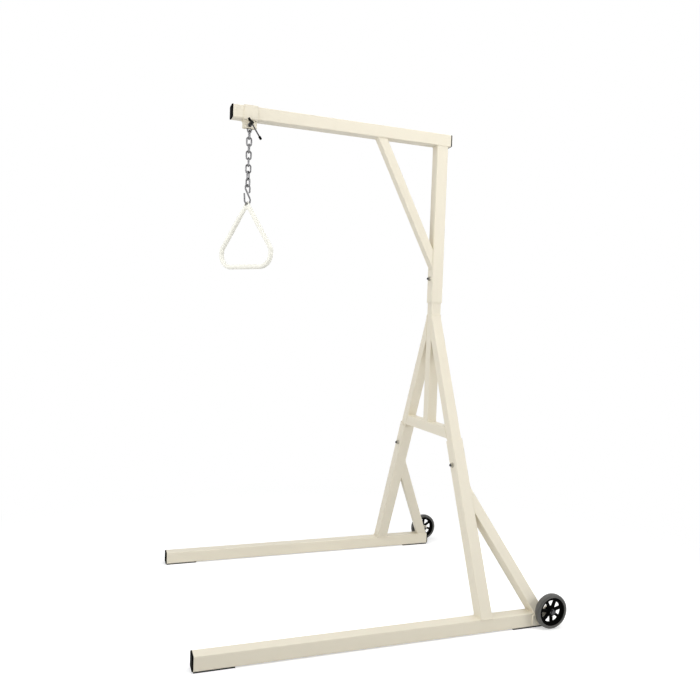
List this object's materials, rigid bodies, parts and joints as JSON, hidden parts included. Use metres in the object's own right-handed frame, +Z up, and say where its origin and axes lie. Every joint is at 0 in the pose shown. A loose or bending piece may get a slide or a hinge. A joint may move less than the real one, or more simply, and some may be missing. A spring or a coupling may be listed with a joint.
{
  "type": "freestanding trapeze",
  "caption": "Freestanding trapeze: wheeled A-frame floor stand with a boom, a sliding clamp, a chain and a triangular pull handle over a bed.",
  "frame": {"origin": "on the floor at the middle of the footprint (middle of the bounding box's underside)", "axes": "+X along the floor legs from their open front ends to the wheels, +Y across the legs, +Z up"},
  "size_m": [1.413, 1.1552, 1.9846],
  "materials": {
    "cream_paint": "cream powder coat, satin",
    "cream_plastic": "cream moulded plastic, semi-gloss",
    "black_plastic": "black moulded plastic, satin",
    "pad_rubber": "black rubber, matt",
    "grey_tyre": "dark grey rubber, matt",
    "zinc_steel": "bright zinc plate",
    "black_steel": "blackened steel, satin"
  },
  "bodies": {
    "frame": {"near_leg_tube": "cream_paint", "near_leg_front_cap": "black_plastic", "near_leg_rear_cap": "black_plastic", "near_front_pad": "pad_rubber", "near_rear_pad": "pad_rubber", "near_upright": "cream_paint", "near_slanted_tube": "cream_paint", "near_joint_bolt": "zinc_steel", "near_joint_nut": "zinc_steel", "near_rear_brace": "cream_paint", "near_wheel_bracket": "cream_paint", "near_axle_bolt": "zinc_steel", "near_axle_nut": "zinc_steel", "far_leg_tube": "cream_paint", "far_leg_front_cap": "black_plastic", "far_leg_rear_cap": "black_plastic", "far_front_pad": "pad_rubber", "far_rear_pad": "pad_rubber", "far_upright": "cream_paint", "far_slanted_tube": "cream_paint", "far_joint_bolt": "zinc_steel", "far_joint_nut": "zinc_steel", "far_rear_brace": "cream_paint", "far_wheel_bracket": "cream_paint", "far_axle_bolt": "zinc_steel", "far_axle_nut": "zinc_steel", "centre_post": "cream_paint", "crossbar": "cream_paint", "column": "cream_paint", "column_bolt": "zinc_steel", "column_nut": "zinc_steel", "boom": "cream_paint", "boom_front_cap": "black_plastic", "boom_rear_cap": "black_plastic", "boom_brace": "cream_paint"},
    "near_wheel": {"near_hub": "black_plastic", "near_tyre": "grey_tyre"},
    "far_wheel": {"far_hub": "black_plastic", "far_tyre": "grey_tyre"},
    "clamp": {"clamp_strap": "cream_paint", "clamp_nut": "zinc_steel"},
    "clamp_thrust": {"clamp_washer": "zinc_steel"},
    "t_screw": {"clamp_screw": "black_steel"},
    "t_bar": {"tommy_bar": "zinc_steel", "bar_upper_cap": "black_plastic", "bar_lower_cap": "black_plastic"},
    "ring": {"hanger_ring": "zinc_steel"},
    "link_1": {"chain_link_1": "zinc_steel"},
    "link_2": {"chain_link_2": "zinc_steel"},
    "link_3": {"chain_link_3": "zinc_steel"},
    "link_4": {"chain_link_4": "zinc_steel"},
    "link_5": {"chain_link_5": "zinc_steel"},
    "link_6": {"chain_link_6": "zinc_steel"},
    "link_7": {"chain_link_7": "zinc_steel"},
    "link_8": {"chain_link_8": "zinc_steel"},
    "hook": {"s_hook": "zinc_steel"},
    "handle": {"handle": "cream_plastic"}
  },
  "joints": [
    {"name": "near_wheel_spin", "type": "hinge", "parent": "frame", "child": "near_wheel", "pos_m": [0.64, -0.55188, 0.0687], "axis": [0, 1, 0], "continuous": true},
    {"name": "far_wheel_spin", "type": "hinge", "parent": "frame", "child": "far_wheel", "pos_m": [0.64, 0.55188, 0.0687], "axis": [0, 1, 0], "continuous": true},
    {"name": "clamp_travel", "type": "slide", "parent": "frame", "child": "clamp", "axis": [1, 0, 0], "range_m": [-0.038, 0.5]},
    {"name": "t_screw_turn", "type": "hinge", "parent": "clamp_thrust", "child": "t_screw", "pos_m": [-0.471, -0.039, 1.9114], "axis": [0, -1, 0], "range_deg": [0, 720]},
    {"name": "t_screw_travel", "type": "slide", "parent": "clamp", "child": "clamp_thrust", "axis": [0, -1, 0], "range_m": [0, 0.0025]},
    {"name": "t_bar_slide", "type": "slide", "parent": "t_screw", "child": "t_bar", "axis": [-0.5519, 0, 0.8339], "range_m": [0, 0.05]},
    {"name": "ring_swing", "type": "hinge", "parent": "clamp", "child": "ring", "pos_m": [-0.471, 0, 1.9114], "axis": [0, 1, 0], "range_deg": [-30, 30]},
    {"name": "link_1_swing", "type": "hinge", "parent": "ring", "child": "link_1", "pos_m": [-0.471, 0, 1.884], "axis": [1, 0, 0], "range_deg": [-18, 18]},
    {"name": "link_2_swing", "type": "hinge", "parent": "link_1", "child": "link_2", "pos_m": [-0.471, 0, 1.8573], "axis": [0, 1, 0], "range_deg": [-18, 18]},
    {"name": "link_3_swing", "type": "hinge", "parent": "link_2", "child": "link_3", "pos_m": [-0.471, 0, 1.8306], "axis": [1, 0, 0], "range_deg": [-18, 18]},
    {"name": "link_4_swing", "type": "hinge", "parent": "link_3", "child": "link_4", "pos_m": [-0.471, 0, 1.8039], "axis": [0, 1, 0], "range_deg": [-18, 18]},
    {"name": "link_5_swing", "type": "hinge", "parent": "link_4", "child": "link_5", "pos_m": [-0.471, 0, 1.7772], "axis": [1, 0, 0], "range_deg": [-18, 18]},
    {"name": "link_6_swing", "type": "hinge", "parent": "link_5", "child": "link_6", "pos_m": [-0.471, 0, 1.7505], "axis": [0.1219, 0.9925, 0], "range_deg": [-18, 18]},
    {"name": "link_7_swing", "type": "hinge", "parent": "link_6", "child": "link_7", "pos_m": [-0.471, 0, 1.7238], "axis": [0.9744, -0.225, 0], "range_deg": [-18, 18]},
    {"name": "link_8_swing", "type": "hinge", "parent": "link_7", "child": "link_8", "pos_m": [-0.471, 0, 1.6971], "axis": [0.5736, 0.8192, 0], "range_deg": [-18, 18]},
    {"name": "hook_swing", "type": "hinge", "parent": "link_8", "child": "hook", "pos_m": [-0.471, 0, 1.6704], "axis": [0.5878, -0.809, 0], "range_deg": [-18, 18]},
    {"name": "handle_swing", "type": "hinge", "parent": "hook", "child": "handle", "pos_m": [-0.471, 0, 1.60215], "axis": [0.8192, 0.5736, 0], "range_deg": [-30, 30]}
  ],
  "couplings": [
    {"joint": "t_screw_travel", "follows": "t_screw_turn", "m_per_rad": 0.00019894}
  ]
}
